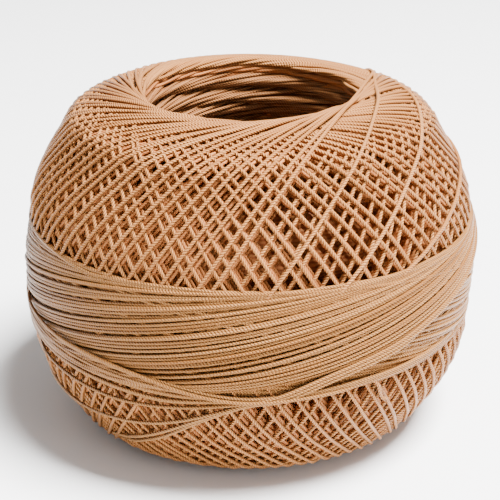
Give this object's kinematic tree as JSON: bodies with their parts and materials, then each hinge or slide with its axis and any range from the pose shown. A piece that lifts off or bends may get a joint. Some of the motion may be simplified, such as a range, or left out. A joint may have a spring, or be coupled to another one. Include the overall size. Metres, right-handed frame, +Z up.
{
  "type": "ball of crochet thread",
  "caption": "Cross-wound ball of tan mercerised crochet cotton, with an open hole through its axis and a band of level wraps round its belly.",
  "frame": {"origin": "on the surface that the ball stands on, at the axis of the hole, in the middle of the flat foot ring", "axes": "+Z up along the axis of the hole, from the foot to the upper rim; -Y is the side with the slipped wraps and the last turns, which the picture faces, and +X is to its right"},
  "size_m": [0.0602, 0.0598, 0.0446],
  "materials": {
    "crochet_cotton": "mercerised cotton, soft sheen"
  },
  "bodies": {
    "root": {"wound_ball": "crochet_cotton"}
  },
  "joints": []
}
